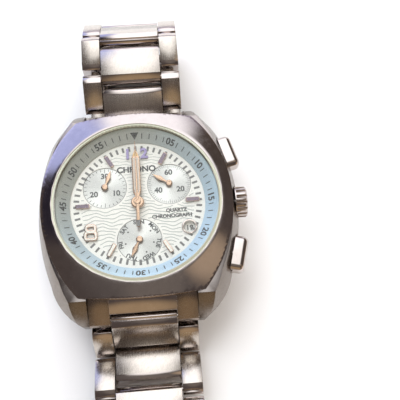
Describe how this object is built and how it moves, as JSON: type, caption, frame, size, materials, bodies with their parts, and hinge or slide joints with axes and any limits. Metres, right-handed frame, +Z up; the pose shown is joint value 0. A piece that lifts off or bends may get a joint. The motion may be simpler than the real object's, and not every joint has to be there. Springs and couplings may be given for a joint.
{
  "type": "chronograph wristwatch",
  "caption": "Chronograph wristwatch with a cushion bezel, three counters, crown, pushers and a hinged link bracelet with a folding clasp, laid open on a table.",
  "frame": {"origin": "on the table plane, on the underside of the clasp cover, straight below the pivot of the central hands", "axes": "+X towards 3 o'clock, +Y towards 12 o'clock along the bracelet, +Z up out of the dial"},
  "size_m": [0.0451, 0.1158, 0.0188],
  "materials": {
    "brushed_steel": "brushed, lightly scratched",
    "polished_steel": "polished",
    "glass": "clear mineral glass",
    "rubber": "matte",
    "white_plastic": "moulded",
    "rose_gold": "polished rose-gold plate",
    "dial_paint": "satin silver-white",
    "plated_brass": "plated",
    "board": "solder mask",
    "cell": "satin",
    "copper": "enamelled wire"
  },
  "bodies": {
    "case": {"case_middle": "brushed_steel", "case_back": "polished_steel", "case_back_gasket": "rubber", "bezel": "polished_steel", "crystal": "glass", "crystal_gasket": "white_plastic", "flange_ring": "dial_paint", "dial": "dial_paint", "date_frame": "rose_gold", "hour_markers": "rose_gold", "main_plate": "plated_brass", "train_bridge": "plated_brass", "circuit_board": "board", "coin_cell": "cell", "stepper_motors": "copper", "movement_holder": "white_plastic", "crown_tube": "polished_steel", "pusher_springs": "polished_steel", "upper_end_link": "brushed_steel", "lower_end_link": "brushed_steel", "spring_bars": "polished_steel"},
    "date_ring": {"date_ring": "white_plastic"},
    "hour_hand": {"hour_hand": "rose_gold"},
    "minute_hand": {"minute_hand": "rose_gold"},
    "chrono_seconds_hand": {"chrono_seconds_hand": "rose_gold"},
    "minute_counter_hand": {"minute_counter_hand": "rose_gold"},
    "small_seconds_hand": {"small_seconds_hand": "rose_gold"},
    "day_hand": {"day_hand": "rose_gold"},
    "setting_lever": {"setting_lever": "polished_steel"},
    "crown": {"stem": "polished_steel", "crown": "polished_steel"},
    "upper_pusher": {"upper_pusher": "polished_steel"},
    "lower_pusher": {"lower_pusher": "polished_steel"},
    "upper_link_1": {"upper_link_1": "brushed_steel", "upper_pin_1": "polished_steel"},
    "upper_link_2": {"upper_link_2": "brushed_steel", "upper_pin_2": "polished_steel"},
    "upper_link_3": {"upper_link_3": "brushed_steel", "upper_pin_3": "polished_steel"},
    "upper_link_4": {"upper_link_4": "brushed_steel", "upper_pin_4": "polished_steel"},
    "upper_link_5": {"upper_link_5": "brushed_steel", "upper_pin_5": "polished_steel"},
    "upper_link_6": {"upper_link_6": "brushed_steel", "upper_pin_6": "polished_steel"},
    "lower_link_1": {"lower_link_1": "brushed_steel", "lower_pin_1": "polished_steel"},
    "lower_link_2": {"lower_link_2": "brushed_steel", "lower_pin_2": "polished_steel"},
    "lower_link_3": {"lower_link_3": "brushed_steel", "lower_pin_3": "polished_steel"},
    "lower_link_4": {"lower_link_4": "brushed_steel", "lower_pin_4": "polished_steel"},
    "lower_link_5": {"lower_link_5": "brushed_steel"},
    "fold_arm_inner": {"fold_arm_inner": "polished_steel", "arm_pin": "polished_steel"},
    "fold_arm_outer": {"fold_arm_outer": "polished_steel"},
    "clasp_cover": {"clasp_cover": "brushed_steel", "cover_bars": "polished_steel"}
  },
  "joints": [
    {"name": "date_ring_turn", "type": "hinge", "parent": "case", "child": "date_ring", "pos_m": [0, 0, 0.0142], "axis": [0, 0, -1], "continuous": true},
    {"name": "hour_hand_turn", "type": "hinge", "parent": "case", "child": "hour_hand", "pos_m": [0, 0, 0.0142], "axis": [0, 0, -1], "continuous": true},
    {"name": "minute_hand_turn", "type": "hinge", "parent": "case", "child": "minute_hand", "pos_m": [0, 0, 0.0142], "axis": [0, 0, -1], "continuous": true},
    {"name": "chrono_seconds_hand_turn", "type": "hinge", "parent": "case", "child": "chrono_seconds_hand", "pos_m": [0, 0, 0.0142], "axis": [0, 0, -1], "continuous": true},
    {"name": "minute_counter_hand_turn", "type": "hinge", "parent": "case", "child": "minute_counter_hand", "pos_m": [-0.00692, 0.00409, 0.0142], "axis": [0, 0, -1], "continuous": true},
    {"name": "small_seconds_hand_turn", "type": "hinge", "parent": "case", "child": "small_seconds_hand", "pos_m": [0.00692, 0.00409, 0.0142], "axis": [0, 0, -1], "continuous": true},
    {"name": "day_hand_turn", "type": "hinge", "parent": "case", "child": "day_hand", "pos_m": [0, -0.00821, 0.0142], "axis": [0, 0, -1], "continuous": true},
    {"name": "crown_pull", "type": "slide", "parent": "case", "child": "setting_lever", "axis": [1, 0, 0], "range_m": [0, 0.0009]},
    {"name": "crown_turn", "type": "hinge", "parent": "setting_lever", "child": "crown", "pos_m": [0.02, 0, 0.0109], "axis": [1, 0, 0], "continuous": true},
    {"name": "upper_pusher_press", "type": "slide", "parent": "case", "child": "upper_pusher", "axis": [0.9659, 0.2588, 0], "range_m": [-0.0008, 0], "stiffness_N_per_m": 900, "deforming": ["pusher_springs"]},
    {"name": "lower_pusher_press", "type": "slide", "parent": "case", "child": "lower_pusher", "axis": [0.9659, -0.2588, 0], "range_m": [-0.0008, 0], "stiffness_N_per_m": 900, "deforming": ["pusher_springs"]},
    {"name": "upper_hinge_1", "type": "hinge", "parent": "case", "child": "upper_link_1", "pos_m": [0, 0.0225, 0.0102], "axis": [1, 0, 0], "range_deg": [0, 20]},
    {"name": "upper_hinge_2", "type": "hinge", "parent": "upper_link_1", "child": "upper_link_2", "pos_m": [0, 0.03031, 0.01587], "axis": [1, 0, 0], "range_deg": [0, 35]},
    {"name": "upper_hinge_3", "type": "hinge", "parent": "upper_link_2", "child": "upper_link_3", "pos_m": [0, 0.03989, 0.01705], "axis": [1, 0, 0], "range_deg": [0, 45]},
    {"name": "upper_hinge_4", "type": "hinge", "parent": "upper_link_3", "child": "upper_link_4", "pos_m": [0, 0.04759, 0.01124], "axis": [1, 0, 0], "range_deg": [0, 60]},
    {"name": "upper_hinge_5", "type": "hinge", "parent": "upper_link_4", "child": "upper_link_5", "pos_m": [0, 0.04542, 0.00184], "axis": [1, 0, 0], "range_deg": [0, 75]},
    {"name": "upper_hinge_6", "type": "hinge", "parent": "upper_link_5", "child": "upper_link_6", "pos_m": [0, 0.03577, 0.00184], "axis": [1, 0, 0], "range_deg": [0, 20]},
    {"name": "lower_hinge_1", "type": "hinge", "parent": "case", "child": "lower_link_1", "pos_m": [0, -0.0238, 0.0102], "axis": [1, 0, 0], "range_deg": [-20, 40]},
    {"name": "lower_hinge_2", "type": "hinge", "parent": "lower_link_1", "child": "lower_link_2", "pos_m": [0, -0.02863, 0.00184], "axis": [1, 0, 0], "range_deg": [-20, 40]},
    {"name": "lower_hinge_3", "type": "hinge", "parent": "lower_link_2", "child": "lower_link_3", "pos_m": [0, -0.0378, 0.00482], "axis": [1, 0, 0], "range_deg": [-20, 40]},
    {"name": "lower_hinge_4", "type": "hinge", "parent": "lower_link_3", "child": "lower_link_4", "pos_m": [0, -0.04717, 0.00716], "axis": [1, 0, 0], "range_deg": [-20, 40]},
    {"name": "lower_hinge_5", "type": "hinge", "parent": "lower_link_4", "child": "lower_link_5", "pos_m": [0, -0.05672, 0.00582], "axis": [1, 0, 0], "range_deg": [-20, 40]},
    {"name": "clasp_arm_hinge", "type": "hinge", "parent": "upper_link_6", "child": "fold_arm_inner", "pos_m": [0, 0.02612, 0.00184], "axis": [1, 0, 0], "range_deg": [0, 45]},
    {"name": "clasp_fold_hinge", "type": "hinge", "parent": "fold_arm_inner", "child": "fold_arm_outer", "pos_m": [0, -0.00878, 0.00335], "axis": [-1, 0, 0], "range_deg": [0, 9]},
    {"name": "clasp_cover_hinge", "type": "hinge", "parent": "fold_arm_outer", "child": "clasp_cover", "pos_m": [0, 0.01922, 0.00255], "axis": [1, 0, 0], "range_deg": [0, 15]}
  ],
  "couplings": [
    {"joint": "hour_hand_turn", "follows": "minute_hand_turn", "ratio": 0.083333}
  ]
}
